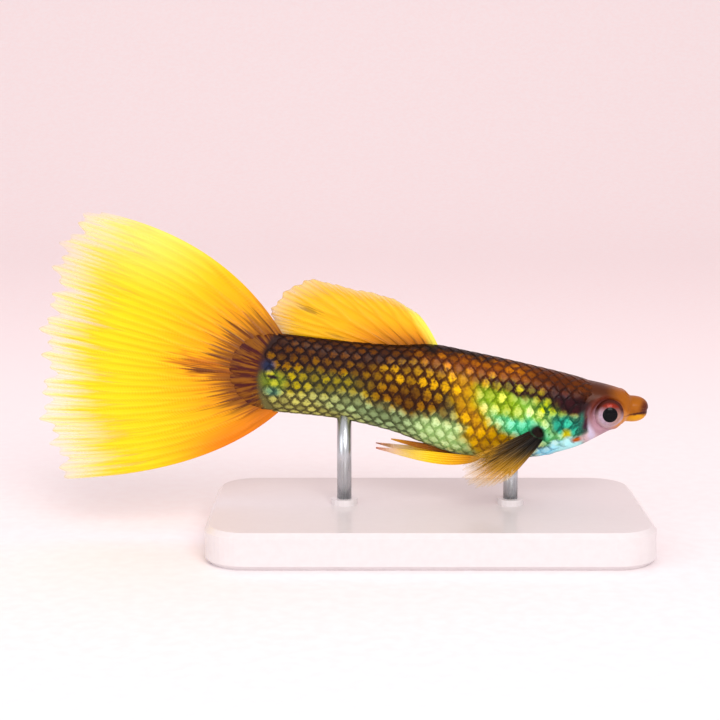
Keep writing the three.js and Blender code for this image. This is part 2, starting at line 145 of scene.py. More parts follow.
def add(tree, kind, settings=None, **inputs):
    """A new node. Inputs are given by name, or as i0, i1 ... by number; values or sockets."""
    made = tree.nodes.new(kind)
    for key, value in (settings or {}).items():
        setattr(made, key, value)
    for key, value in inputs.items():
        by_number = key[0] == "i" and key[1:].isdigit()
        socket = made.inputs[int(key[1:]) if by_number else key.replace("_", " ")]
        if isinstance(value, bpy.types.NodeSocket):
            tree.links.new(value, socket)
        else:
            socket.default_value = value
    return made


def math_node(tree, operation, a, b=0.0):
    settings = {"operation": operation}
    return add(tree, "ShaderNodeMath", settings, i0=a, i1=b).outputs[0]


def product(tree, a, b):
    return math_node(tree, "MULTIPLY", a, b)


def split(tree, vector):
    """The x, y and z of a vector."""
    return add(tree, "ShaderNodeSeparateXYZ", i0=vector).outputs


def length_of(tree, vector):
    settings = {"operation": "LENGTH"}
    return add(tree, "ShaderNodeVectorMath", settings, i0=vector).outputs["Value"]


def stretched(tree, vector, scale):
    return add(tree, "ShaderNodeMapping", Vector=vector, Scale=scale).outputs[0]


def mix(tree, factor, a, b):
    """Colour a where the factor is 0 and colour b where it is 1."""
    return add(tree, "ShaderNodeMix", {"data_type": "RGBA"}, i0=factor, i6=a, i7=b).outputs[2]


def rise(tree, value, low, high, start=0.0, end=1.0):
    """A smooth step of a value from start at low to end at high."""
    settings = {"interpolation_type": "SMOOTHSTEP"}
    node = add(tree, "ShaderNodeMapRange", settings, Value=value, i1=low, i2=high, i3=start, i4=end)
    return node.outputs[0]


def ramp(tree, factor, stops):
    node = add(tree, "ShaderNodeValToRGB", Fac=factor)
    elements = node.color_ramp.elements
    while len(elements) < len(stops):
        elements.new(0.5)
    for element, (position, colour) in zip(elements, stops):
        element.position = position
        element.color = colour
    return node.outputs[0]


def noise(tree, vector, scale, detail=2.0, roughness=0.5):
    node = add(tree, "ShaderNodeTexNoise", Vector=vector, Scale=scale, Detail=detail, Roughness=roughness)
    return node.outputs[0]


def new_material(name, **values):
    """A material with a Principled shader whose plain values are set by name."""
    material = bpy.data.materials.new(name)
    material.use_nodes = True
    tree = material.node_tree
    shader = tree.nodes["Principled BSDF"]
    for key, value in values.items():
        shader.inputs[key.replace("_", " ")].default_value = value
    return material, tree, shader


def object_point(tree):
    return add(tree, "ShaderNodeTexCoord").outputs["Object"]


def fish_point(tree):
    """Object coordinates in the fish's frame, in millimetres."""
    node = add(
        tree,
        "ShaderNodeMapping",
        {"vector_type": "TEXTURE"},
        Vector=object_point(tree),
        Location=ORIGIN,
        Rotation=(0, PITCH, 0),
        Scale=(MM, MM, MM),
    )
    return node.outputs[0]


def bump(tree, shader, height, strength, distance):
    node = add(tree, "ShaderNodeBump", Height=height, Strength=strength, Distance=distance)
    tree.links.new(node.outputs[0], shader.inputs["Normal"])


def drive(tree, shader, **sockets):
    """Links colours and values to the shader's inputs, each given by its name."""
    for key, value in sockets.items():
        tree.links.new(value, shader.inputs[key.replace("_", " ")])


print("node tools ready")

# %% [markdown]
# ## Floor and light
#
# The floor is one sheet of pale paper that curves up behind, so no horizon cuts the picture. Three
# large soft lamps and a bright room stand for a photographer's light tent.

# %% Floor and light
PAPER_HALF = 2
BEND_AT = 0.25
BEND_RADIUS = 0.22


def link_piece(bm, name, *materials):
    """A bmesh as a smooth-shaded object of the scene."""
    mesh = bpy.data.meshes.new(name)
    bm.to_mesh(mesh)
    bm.free()
    for material in materials:
        mesh.materials.append(material)
    mesh.polygons.foreach_set("use_smooth", [True] * len(mesh.polygons))
    piece = bpy.data.objects.new(name, mesh)
    scene.collection.objects.link(piece)
    return piece


paper, paper_tree, paper_shader = new_material("pale_paper", Roughness=0.9)
paper_point = object_point(paper_tree)
# The paper is painted a little darker and pinker towards the back: painted shade where less light reaches
# it.
paper_far_shade = rise(paper_tree, split(paper_tree, paper_point)[1], -0.05, 0.2)
paper_colour = mix(paper_tree, paper_far_shade, srgb("F8F3F5"), srgb("F5E3E4"))
paper_grain = rise(paper_tree, noise(paper_tree, paper_point, 900, 3), 0.3, 0.7, 0.0, 0.5)
paper_colour = mix(paper_tree, paper_grain, paper_colour, srgb("F5EAEC"))
drive(paper_tree, paper_shader, Base_Color=paper_colour)

bm = bmesh.new()
bmesh.ops.create_grid(bm, x_segments=8, y_segments=160, size=PAPER_HALF)
for v in bm.verts:
    bend = max(0, v.co.y - BEND_AT)
    turn = min(bend / BEND_RADIUS, math.pi / 2)
    past = bend - BEND_RADIUS * turn
    if bend > 0:
        v.co.y = BEND_AT + BEND_RADIUS * math.sin(turn)
        v.co.z = BEND_RADIUS * (1 - math.cos(turn)) + past
floor = link_piece(bm, "floor", paper)


def area_light(name, position, size, power, colour=(1, 1, 1)):
    data = bpy.data.lights.new(name, "AREA")
    data.shape = "DISK"
    data.size = size
    data.energy = power
    data.color = colour
    light = bpy.data.objects.new(name, data)
    light.location = position
    light.rotation_mode = "QUATERNION"
    light.rotation_quaternion = (look_at - Vector(position)).to_track_quat("-Z", "Y")
    scene.collection.objects.link(light)


area_light("key", (0.09, -0.34, 0.25), 0.24, 0.9, (1, 0.985, 0.96))
area_light("fill", (-0.3, -0.25, 0.14), 0.3, 0.3, (0.96, 0.97, 1))
area_light("top", (-0.06, 0.16, 0.34), 0.34, 0.16, (1, 0.97, 0.97))

world = bpy.data.worlds.new("soft_room")
world.use_nodes = True
background = world.node_tree.nodes["Background"]
background.inputs["Color"].default_value = (1, 0.95, 0.96, 1)
background.inputs["Strength"].default_value = 0.81
scene.world = world
scene.view_settings.view_transform = "Standard"
print("studio ready")

# %% [markdown]
# ## The body's surface
#
# A fish's body is a loft: at each place along it, a section with a back, a belly and a widest line.
# The same named rows shape the solids, so skin and solids agree. Scales and skin both read this
# surface, which keeps each scale exactly on the flank.

# %% Sections of the body
COLUMNS = ("at", "back", "belly", "side", "widest", "square")
SECTIONS = [
    dict(zip(COLUMNS, row))
    for row in (
        (-0.09, 0.385, -0.345, 0.16, 0.02, 2.0),
        (0.05, 0.388, -0.35, 0.4, 0.02, 2.0),
        (0.2, 0.376, -0.358, 0.55, 0.02, 2.0),
        (0.34, 0.385, -0.425, 0.76, 0.0, 2.1),
        (0.43, 0.42, -0.515, 0.9, -0.03, 2.1),
        (0.53, 0.385, -0.6, 0.98, -0.08, 2.1),
        (0.63, 0.34, -0.605, 1.0, -0.1, 2.2),
        (0.75, 0.275, -0.53, 0.98, -0.09, 2.4),
        (0.83, 0.225, -0.425, 0.95, -0.06, 2.6),
        (0.9, 0.185, -0.265, 0.88, -0.03, 2.8),
        (0.965, 0.13, -0.13, 0.62, 0.0, 2.6),
    )
]
STALK_END = {"x": -0.0875 * LENGTH, "round": 3.4}
BROW_END = {"x": 0.966 * LENGTH, "round": 1.3}


def curve_through(key, x):
    """A smooth curve through the rows of the table, read by key at x."""
    rows = SECTIONS
    last = len(rows) - 1

    def slope(i):
        before = rows[max(i - 1, 0)]
        after = rows[min(i + 1, last)]
        return (after[key] - before[key]) / ((after["at"] - before["at"]) * LENGTH)

    i = 0
    while i < last - 1 and x > rows[i + 1]["at"] * LENGTH:
        i += 1
    span = (rows[i + 1]["at"] - rows[i]["at"]) * LENGTH
    u = min(max((x - rows[i]["at"] * LENGTH) / span, 0), 1)
    ease = u * u * (3 - 2 * u)
    level = rows[i][key] * (1 - ease) + rows[i + 1][key] * ease
    return level + span * u * (1 - u) * (slope(i) * (1 - u) - slope(i + 1) * u)


def close_in(x):
    """1 along the body, falling to 0 in a round curve at the stalk's end and at the brow."""
    tail = STALK_END["x"] + STALK_END["round"] - x
    nose = x - (BROW_END["x"] - BROW_END["round"])
    closing = 1.0
    for past, radius in ((tail, STALK_END["round"]), (nose, BROW_END["round"])):
        closing *= math.sqrt(max(0, 1 - (max(past, 0) / radius) ** 2))
    return closing


def body_point(x, angle, grow=0.0):
    """A point of the body in the fish's frame: angle 0 is the left flank, a quarter turn the back."""
    closing = close_in(x)
    middle = curve_through("widest", x) * DEPTH
    square = curve_through("square", x) if math.sin(angle) > 0 else 2
    up = (curve_through("back", x) * DEPTH - middle + grow) * closing
    down = (middle - curve_through("belly", x) * DEPTH + grow) * closing
    across = (curve_through("side", x) * WIDTH / 2 + grow) * closing
    rise_part = math.copysign(abs(math.sin(angle)) ** (2 / square), math.sin(angle))
    side_part = math.copysign(abs(math.cos(angle)) ** (2 / square), math.cos(angle))
    return Vector((x, across * side_part, middle + rise_part * (up if rise_part > 0 else down)))


def body_normal(x, angle):
    small = 0.02
    along = body_point(x + small, angle) - body_point(x - small, angle)
    around = body_point(x, angle + small) - body_point(x, angle - small)
    return around.cross(along).normalized()


print("deepest body:", round(body_point(17, math.pi / 2).z - body_point(17, -math.pi / 2).z, 2), "mm")

# %% [markdown]
# ## The markings
#
# The colours lie on the fish in patches: a dark back, a gold band behind the shoulder, a bright
# green shoulder, a pale blue throat, a grey-green lower flank and a small dark spot in a yellowish
# ring near the tail. The very end of the stalk is bare and red-brown, with the streaks of the tail's
# ray bases. A painter would lay them one over the other with a soft brush, and so does this node
# group. Each patch is an ellipse in the fish's frame with a soft, slightly wandering edge. Skin and
# scales share the group, so their patches line up. It gives a ground colour and the brighter shine
# of the scales' middles.

# %% Patches of colour
FACE = {"x": 28.9, "z": -1.0, "scaleless": 2.6, "groove": 2.75, "deep": 0.07, "painted": 2.9}
RAY_CENTRE = 3.2
END_BOW = 0.1


def patch(tree, where, x, z, long, high, tilt=0.0, soft=0.4):
    """1 inside a soft ellipse seen from the side, 0 outside it. Tilt raises its front end."""
    local = add(
        tree,
        "ShaderNodeMapping",
        {"vector_type": "TEXTURE"},
        Vector=where,
        Location=(x, 0, z),
        Rotation=(0, -math.radians(tilt), 0),
        Scale=(long, 1000, high),
    ).outputs[0]
    return rise(tree, length_of(tree, local), 1 - soft, 1 + soft, 1.0, 0.0)


def strayed(tree, vector, shift, scale):
    """A point moved by a scaled share of a wandering shift."""
    scaled = add(tree, "ShaderNodeVectorMath", {"operation": "SCALE"}, i0=shift, Scale=scale).outputs[0]
    return add(tree, "ShaderNodeVectorMath", {"operation": "ADD"}, i0=vector, i1=scaled).outputs[0]


def new_group(name, inputs, outputs):
    group = bpy.data.node_groups.new(name, "ShaderNodeTree")
    for label, kind in inputs:
        group.interface.new_socket(label, in_out="INPUT", socket_type=kind)
    for label, kind in outputs:
        group.interface.new_socket(label, in_out="OUTPUT", socket_type=kind)
    start = group.nodes.new("NodeGroupInput")
    end = group.nodes.new("NodeGroupOutput")
    return group, start, end


def use_group(tree, group, **inputs):
    return add(tree, "ShaderNodeGroup", {"node_tree": group}, **inputs)


markings, mark_in, mark_out = new_group(
    "guppy_markings",
    [("Fish Point", "NodeSocketVector")],
    [("Ground", "NodeSocketColor"), ("Shine", "NodeSocketColor")],
)
point = mark_in.outputs[0]
wander = add(markings, "ShaderNodeTexNoise", Vector=point, Scale=1.1, Detail=3.0).outputs["Color"]
mean = (0.5, 0.5, 0.5)
shift = add(markings, "ShaderNodeVectorMath", {"operation": "SUBTRACT"}, i0=wander, i1=mean).outputs[0]
loose = strayed(markings, point, shift, 1.5)
firm = strayed(markings, point, shift, 0.4)

low = rise(markings, split(markings, loose)[2], 1.0, -1.6)
ground = mix(markings, low, srgb("2C1916"), srgb("5A5A3C"))
shine = mix(markings, low, srgb("94692A"), srgb("C8C87C"))
# Each row has a ground colour, a shine colour and a patch. Later patches lie over earlier ones.
PATCHES = [
    ("3E3A22", "B7A645", dict(x=4.6, z=-0.5, long=4.6, high=1.2, soft=0.6)),
    ("625C38", "CBC878", dict(x=3.6, z=-2.3, long=5.6, high=1.0, soft=0.6)),
    ("5C6846", "B4CC98", dict(x=11.6, z=-2.9, long=6.0, high=1.1, tilt=-13, soft=0.6)),
    ("3A1E0E", "9A6A22", dict(x=12.2, z=-0.6, long=3.6, high=1.3, tilt=-6, soft=0.5)),
    ("4E2C0E", "DEA822", dict(x=12.9, z=1.4, long=4.4, high=1.2, tilt=-4, soft=0.5)),
    ("9ABA78", "DEF6BC", dict(x=15.6, z=-3.5, long=2.8, high=1.2, tilt=-12, soft=0.5)),
    ("A06C08", "F4BC14", dict(x=17.5, z=-1.0, long=4.4, high=1.25, tilt=-64, soft=0.5)),
    ("A0700A", "ECB41A", dict(x=19.4, z=-3.9, long=2.4, high=1.0, tilt=-10, soft=0.5)),
    ("92C460", "EEFFBC", dict(x=21.6, z=-1.3, long=3.9, high=1.5, tilt=-18, soft=0.5)),
    ("56B886", "A0FAD4", dict(x=21.9, z=-2.2, long=2.7, high=0.8, tilt=-18, soft=0.6)),
    ("7C9A2C", "EAF07C", dict(x=19.7, z=-0.1, long=1.8, high=0.9, tilt=-30, soft=0.6)),
    ("4C6E30", "D9E24E", dict(x=23.9, z=-0.7, long=1.7, high=0.7, tilt=-20, soft=0.6)),
    ("2F7A66", "63CFAE", dict(x=25.2, z=-1.7, long=1.5, high=0.9, tilt=-20, soft=0.5)),
    ("432220", "8A5530", dict(x=-2.0, z=0.2, long=1.9, high=4.2, soft=0.45)),
    ("6A7A34", "D2CF5E", dict(x=0.95, z=-0.5, long=1.0, high=0.85, soft=0.55)),
    ("3C5A4C", "7A9C78", dict(x=0.95, z=-1.3, long=0.7, high=0.4, soft=0.6)),
    ("251A1C", "3A2A28", dict(x=0.9, z=-0.12, long=0.55, high=0.16, tilt=-6, soft=0.6)),
    ("232840", "3C4C6C", dict(x=0.45, z=0.8, long=0.55, high=0.45, soft=0.7)),
    ("271311", "5E3A20", dict(x=5.0, z=2.9, long=10.5, high=1.3, soft=0.5)),
    ("6C330A", "BC700F", dict(x=19.6, z=2.5, long=6.6, high=1.5, tilt=-8, soft=0.5)),
    ("4C2006", "622E06", dict(x=26.2, z=1.5, long=4.6, high=1.3, tilt=-13, soft=0.4)),
    ("2E1814", "B8AC3C", dict(x=21.2, z=0.95, long=2.8, high=0.5, tilt=-10, soft=0.6)),
    ("250E12", "3C1A1E", dict(x=25.6, z=0.15, long=3.0, high=0.75, tilt=-16, soft=0.5)),
    ("1E100C", "38231A", dict(x=13.0, z=3.9, long=16.0, high=0.75, tilt=-3, soft=0.5)),
    ("C4BC3C", "E2D850", dict(x=25.3, z=-2.5, long=0.35, high=0.45, tilt=20, soft=0.6)),
    ("A8E8FF", "C4F4FF", dict(x=24.2, z=-4.1, long=1.4, high=0.6, tilt=22, soft=0.5)),
    ("C4FCFF", "DCFFFF", dict(x=25.8, z=-3.6, long=1.3, high=0.8, tilt=15, soft=0.5)),
    ("160E0A", "241610", dict(x=22.9, z=-2.5, long=0.75, high=0.55, tilt=-40, soft=0.4)),
    ("B0603A", "CC7850", dict(x=26.3, z=-2.9, long=0.5, high=0.26, tilt=15, soft=0.6)),
]
for ground_code, shine_code, shape in PATCHES:
    mask = patch(markings, loose if shape["long"] > 1.2 else firm, **shape)
    ground = mix(markings, mask, ground, srgb(ground_code))
    shine = mix(markings, mask, shine, srgb(shine_code))

# The end of the stalk has no scales: under bare skin lie the bases of the tail's rays.
spot = split(markings, point)
along = spot[0]
height = spot[2]
behind = math_node(markings, "SUBTRACT", RAY_CENTRE, along)
turn = math_node(markings, "ARCTAN2", height, behind)
lined = add(
    markings,
    "ShaderNodeCombineXYZ",
    i0=product(markings, turn, 17.0),
    i1=product(markings, behind, 0.35),
).outputs[0]
base_streak = rise(markings, noise(markings, lined, 1.0, 3, 0.6), 0.4, 0.62)
bow = product(markings, product(markings, height, height), END_BOW)
ray_bases = rise(markings, math_node(markings, "SUBTRACT", along, bow), -0.15, -0.75, 0, 0.9)
ground = mix(markings, ray_bases, ground, mix(markings, base_streak, srgb("42181A"), srgb("885420")))

# Patches of the bare face, which has no scales.
FACE_PATCHES = [
    ("DFC6CC", dict(x=28.4, z=-3.1, long=3.6, high=1.45, tilt=30, soft=0.4)),
    ("2F6A5C", dict(x=26.4, z=-1.6, long=0.6, high=1.0, tilt=-10, soft=0.5)),
    ("33182A", dict(x=26.85, z=-1.2, long=0.32, high=1.0, tilt=-4, soft=0.6)),
    ("D8CEE4", dict(x=27.33, z=-1.8, long=0.3, high=1.35, tilt=12, soft=0.5)),
    ("6A3830", dict(x=28.5, z=-0.6, long=1.72, high=1.5, soft=0.22)),
    ("B894A0", dict(x=28.8, z=-1.1, long=1.62, high=1.6, soft=0.2)),
    ("C88E62", dict(x=30.0, z=-0.9, long=1.3, high=1.0, tilt=-10, soft=0.5)),
    ("9C560E", dict(x=30.5, z=0.75, long=1.9, high=1.0, tilt=-32, soft=0.5)),
    ("A05A10", dict(x=31.2, z=0.25, long=1.3, high=0.8, tilt=-15, soft=0.5)),
    ("E09A10", dict(x=31.3, z=-0.85, long=0.95, high=0.42, tilt=16, soft=0.5)),
    ("561A06", dict(x=31.75, z=0.06, long=0.5, high=0.5, tilt=11, soft=0.6)),
    ("40140A", dict(x=31.4, z=-0.34, long=1.2, high=0.1, tilt=11, soft=0.7)),
]
painted = FACE["painted"]
face = patch(markings, point, x=FACE["x"], z=FACE["z"], long=painted, high=painted, soft=0.12)
snout = rise(markings, along, 27.6, 28.6)
bare = math_node(markings, "MAXIMUM", face, snout)
face_ground = ground
for code, shape in FACE_PATCHES:
    on = loose if shape["long"] > 2.5 else firm
    face_ground = mix(markings, patch(markings, on, **shape), face_ground, srgb(code))
ground = mix(markings, bare, ground, face_ground)
for colour, label in ((ground, "Ground"), (shine, "Shine")):
    vivid = add(markings, "ShaderNodeHueSaturation", Saturation=1.15, Color=colour)
    markings.links.new(vivid.outputs[0], mark_out.inputs[label])
print("patches:", len(PATCHES) + len(FACE_PATCHES))

# %% [markdown]
# ## The skin
#
# On the real fish one skin runs from the lips to the tail. It could be lofted alone, but the lips
# would stay stuck on. Instead a ball is moved point by point onto the body's surface, two smaller
# balls make the lips, each cut flat along the gape, and a voxel remesh melts them into one closed
# skin.

# %% Body and lips, melted into one
SKIN_DEPTH = 0.06
SKIN_GRAIN = 0.085
HEAD_FROM = 23
LIPS_FROM = 29.9
GILL_ARC = {"x": 29.5, "z": -1.2, "radius": 6.1, "step": 0.11}
EYE = {"x": 28.65, "z": -0.5, "radius": 1.2, "out": 1.42, "bulge": 0.82, "curve": 1.24}
NOSTRIL = {"x": 29.95, "y": 0.72, "z": 1.02, "deep": 0.28, "wide": 0.17}
UPPER_LIP = {"x": 30.7, "z": 0.02, "long": 1.38, "wide": 1.12, "high": 0.88}
LOWER_LIP = {"x": 30.45, "z": -0.28, "long": 1.6, "wide": 1.08, "high": 1.0}
MOUTH = {"hinge": 30.3, "hinge_z": -0.5, "tilt": math.radians(11), "open": 0.07}


def body_ball(bm):
    made = bmesh.ops.create_uvsphere(bm, u_segments=72, v_segments=120, radius=1)
    span = BROW_END["x"] - STALK_END["x"]
    for v in made["verts"]:
        along = v.co.z
        angle = math.atan2(v.co.y, v.co.x)
        x = STALK_END["x"] + span * (1 + along) / 2
        v.co = body_point(x, angle, -SKIN_DEPTH)


def lip_ball(bm, shape, upper):
    made = bmesh.ops.create_uvsphere(bm, u_segments=32, v_segments=20, radius=1)
    for v in made["verts"]:
        blunt = math.copysign(abs(v.co.x) ** 0.75, v.co.x)
        x = shape["x"] + blunt * shape["long"]
        z = shape["z"] + v.co.z * shape["high"]
        v.co = Vector((x, v.co.y * shape["wide"], z))
    side = 1 if upper else -1
    normal = Vector((-math.sin(MOUTH["tilt"]), 0, math.cos(MOUTH["tilt"]))) * side
    on_gape = Vector((MOUTH["hinge"], 0, MOUTH["hinge_z"])) + normal * MOUTH["open"]
    faces = {f for v in made["verts"] for f in v.link_faces}
    geometry = made["verts"] + list(faces) + list({e for f in faces for e in f.edges})
    cut = bmesh.ops.bisect_plane(bm, geom=geometry, plane_co=on_gape, plane_no=normal, clear_inner=True)
    edges = [e for e in cut["geom_cut"] if isinstance(e, bmesh.types.BMEdge)]
    bmesh.ops.holes_fill(bm, edges=edges)


bm = bmesh.new()
body_ball(bm)
lip_ball(bm, UPPER_LIP, True)
lip_ball(bm, LOWER_LIP, False)
bmesh.ops.recalc_face_normals(bm, faces=bm.faces)
rough = link_piece(bm, "rough_skin")
remesh = rough.modifiers.new("melt", "REMESH")
remesh.mode = "VOXEL"
remesh.voxel_size = SKIN_GRAIN
soften = rough.modifiers.new("soften", "SMOOTH")
soften.factor = 0.5
soften.iterations = 3
bpy.context.view_layer.update()
melted = bpy.data.meshes.new_from_object(rough.evaluated_get(bpy.context.evaluated_depsgraph_get()))
bpy.data.objects.remove(rough)
print("melted skin:", len(melted.polygons), "faces")

# %% [markdown]
# The fine forms of the skin come next, as small moves of its points along their normals: the fold
# around each eye, the step at the edge of the gill cover, the groove around the cheek, the nostrils
# and the faint ridges of the ray bases on the bare end of the stalk. One function gives them all,
# because the scales ask it too and so lie on the same ground.

# %% Fine forms of the head
def step(value, low, high):
    u = min(max((value - low) / (high - low), 0), 1)
    return u * u * (3 - 2 * u)


def bell(distance, width):
    return math.exp(-((distance / width) ** 2))


def eye_dome(r):
    """How far out the eye's surface lies at the distance r from its middle."""
    return EYE["out"] + EYE["bulge"] * math.sqrt(max(0, 1 - (r / EYE["curve"]) ** 2))


def from_face(p):
    return math.hypot(p.x - FACE["x"], p.z - FACE["z"])


def skin_relief(p):
    """How far the skin stands out at a point of the fish's frame, in millimetres."""
    from_arc = math.hypot(p.x - GILL_ARC["x"], p.z - GILL_ARC["z"]) - GILL_ARC["radius"]
    side = step(abs(p.y), 0.5, 1.3) * step(p.z, 1.3, 0.5)
    relief = GILL_ARC["step"] * side * step(from_arc, 0.15, -0.25) * step(from_arc, -3.4, -0.5)
    from_cheek = from_face(p) - FACE["groove"]
    relief -= FACE["deep"] * side * bell(from_cheek, 0.13) * step(p.x, 29.3, 28.0)
    from_eye = math.hypot(p.x - EYE["x"], p.z - EYE["z"])
    lateral = step(abs(p.y), 0.6, 1.1)
    orbit = eye_dome(from_eye) - 0.1 - abs(p.y)
    relief += lateral * orbit * step(from_eye, 1.6, 1.06)
    bare_end = step(p.x - END_BOW * p.z * p.z, -0.1, -0.8)
    relief += 0.03 * bare_end * math.sin(30 * math.atan2(p.z, RAY_CENTRE - p.x))
    for y in (NOSTRIL["y"], -NOSTRIL["y"]):
        from_pit = math.dist(p, (NOSTRIL["x"], y, NOSTRIL["z"]))
        relief -= NOSTRIL["deep"] * bell(from_pit, NOSTRIL["wide"])
        relief += 0.06 * bell(from_pit - 0.3, 0.1)
    return relief


bm = bmesh.new()
bm.from_mesh(melted)
bm.normal_update()
for v in bm.verts:
    v.co += v.normal * skin_relief(v.co)
bmesh.ops.smooth_vert(bm, verts=[v for v in bm.verts if v.co.x > HEAD_FROM], factor=0.3)
for i in range(5):
    bmesh.ops.smooth_vert(bm, verts=[v for v in bm.verts if v.co.x > LIPS_FROM], factor=0.5)
for v in bm.verts:
    v.co = place(*v.co)
print("skin points:", len(bm.verts))

# %% [markdown]
# The real skin is wet, so its finish has a thin gloss coat. The scales hide most of it. On the bare
# head it is smooth, with fine pores and a faint green and violet gleam along the edge of the gill
# cover, so its roughness and metal sheen follow a fine noise.

# %% Skin finish
skin_paint, tree, shader = new_material(
    "fish_skin",
    Coat_Weight=0.1,
    Coat_Roughness=0.15,
    Specular_IOR_Level=0.15,
)
where = fish_point(tree)
marks = use_group(tree, markings, i0=where)
fine = noise(tree, where, 9, 5, 0.6)
speckle = rise(tree, fine, 0.55, 0.75, 0, 0.35)
speckled = mix(tree, speckle, marks.outputs["Ground"], marks.outputs["Shine"])
drive(
    tree,
    shader,
    Base_Color=speckled,
    Roughness=rise(tree, fine, 0.3, 0.7, 0.38, 0.55),
    Metallic=rise(tree, noise(tree, where, 3, 2), 0.4, 0.7, 0.0, 0.15),
)
bump(tree, shader, noise(tree, where, 14, 3), 0.25, 0.00005)
skin = link_piece(bm, "fish_skin", skin_paint)
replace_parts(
    skin,
    "head",
    "trunk",
    "tail_stalk",
    "upper_jaw",
    "lower_jaw",
    "gill_cover_left",
    "gill_cover_right",
)
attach(skin, "root")

# %% [markdown]
# ## The scales
#
# A guppy has some 27 scales in a row along its side, each overlapping the next like a roof tile
# with its round edge to the tail. Here 26 rows go around the body, which comes close to the net in
# the photograph. A bump map would look flat at the outline, so each scale is a small real plate: a
# grid bent onto the body, rising a little towards its free edge. Rows shift by half a scale, which
# makes the net pattern of the flank. The face, the throat under it and the very end of the stalk
# stay bare, and the first scales sink into the skin of the head.

# %% Lay the scales
SCALE_PITCH = 0.93
SCALE_ROWS = 26
SCALE_LONG = 1.42
SCALE_ROUND = 0.36
SCALE_WIDE = 0.98
ROOT_SHARE = 0.3
ROOT_SUNK = 0.025
EDGE_RISE = 0.055
HEAD_SUNK = 0.07
FIRST_SCALE = 27.6
LAST_SCALE = 0.75
NAPE = 27.2
THROAT = {"from": 25.2, "below": -0.75}
BAKE_PATCH = 0.003
BAKE_FROM = 3.5
BAKE_SPAN = 36
random.seed(7)


def on_face(x, angle):
    if math.sin(angle) < THROAT["below"]:
        return x > THROAT["from"]
    return x > NAPE or from_face(body_point(x, angle)) < FACE["scaleless"]


def on_stalk_end(x, angle):
    return x < LAST_SCALE + END_BOW * body_point(x, angle).z ** 2


def sinking(x, angle, p):
    """1 where a scale's root dives under the bare skin of the head or the throat, 0 elsewhere."""
    nape = step(x, 26.1, 27.1)
    cheek = step(from_face(p), 3.2, 2.7)
    throat = step(x, 24.2, THROAT["from"]) * step(math.sin(angle), -0.55, THROAT["below"])
    return max(nape, cheek, throat)


def lay_scale(bm, layers, x, angle, row_angle):
    """One scale with its root at x and its round free edge towards the tail."""
    rim, tint, bake = layers
    long = SCALE_LONG * random.uniform(0.96, 1.04)
    own_tint = random.random()
    made = bmesh.ops.create_grid(bm, x_segments=4, y_segments=6, size=0.5)
    for v in made["verts"]:
        u = v.co.x + 0.5
        w = 2 * v.co.y
        px = x - long * (u * (1 - SCALE_ROUND * w * w) - ROOT_SHARE)
        pa = angle + w * row_angle * SCALE_WIDE
        px = min(max(px, STALK_END["x"] + 0.03), BROW_END["x"] - 0.05)
        p = body_point(px, pa)
        flat = 1 - 0.8 * step(px, 24.5, 27)
        lift = (EDGE_RISE * u - ROOT_SUNK) * flat - HEAD_SUNK * sinking(px, pa, p)
        p += body_normal(px, pa) * (lift + skin_relief(p))
        # The rim value is the distance from the scale's bright middle; near 1 it marks the dark band:
        # pigment at the free edge, painted shade at the root.
        v[rim] = min(1, math.hypot((u - 0.62) / 0.4, w / 0.8))
        v[tint] = own_tint
        v.co = place(*p)
        for loop in v.link_loops:
            loop[bake].uv = (
                (x + BAKE_FROM) / BAKE_SPAN + (u - 0.5) * BAKE_PATCH,
                (angle + math.pi) / (2 * math.pi) * 0.98 + 0.01 + w * 0.5 * BAKE_PATCH,
            )


bm = bmesh.new()
layers = (
    bm.verts.layers.float.new("rim"),
    bm.verts.layers.float.new("tint"),
    bm.loops.layers.uv.new("OFBake"),
)
row_angle = 2 * math.pi / SCALE_ROWS
count = 0
for row in range(SCALE_ROWS):
    angle = -math.pi / 2 + (row + 0.5) * row_angle
    x = FIRST_SCALE - (row % 2) * SCALE_PITCH / 2
    while x > STALK_END["x"] + 0.25:
        if not on_face(x, angle) and not on_stalk_end(x, angle):
            lay_scale(bm, layers, x, angle, row_angle)
            count += 1
        x -= SCALE_PITCH
print("scales:", count, "faces:", len(bm.faces))

# %% [markdown]
# Each scale shines gold or green in its middle and is dark along its edge, where pigment cells
# gather, most of all on the dark back. Around its root, just behind the edge of the scale ahead,
# the dark band is painted shade. The rim value stored with each point drives both, and a tint per
# scale keeps the rows from looking printed.

# %% Scale finish
scale_paint, tree, shader = new_material(
    "fish_scales",
    Coat_Weight=0.07,
    Coat_Roughness=0.12,
    Specular_IOR_Level=0.08,
)
where = fish_point(tree)
marks = use_group(tree, markings, i0=where)
rim_value = add(tree, "ShaderNodeAttribute", {"attribute_name": "rim"}).outputs["Fac"]
tint_value = add(tree, "ShaderNodeAttribute", {"attribute_name": "tint"}).outputs["Fac"]
grain = noise(tree, where, 4, 4, 0.7)
ragged = math_node(tree, "ADD", rim_value, rise(tree, grain, 0.3, 0.7, -0.25, 0.25))
glow = product(tree, rise(tree, ragged, 0.85, 0.25), rise(tree, tint_value, 0.0, 0.9, 0.3, 1.0))
middle_colour = mix(tree, glow, marks.outputs["Ground"], marks.outputs["Shine"])
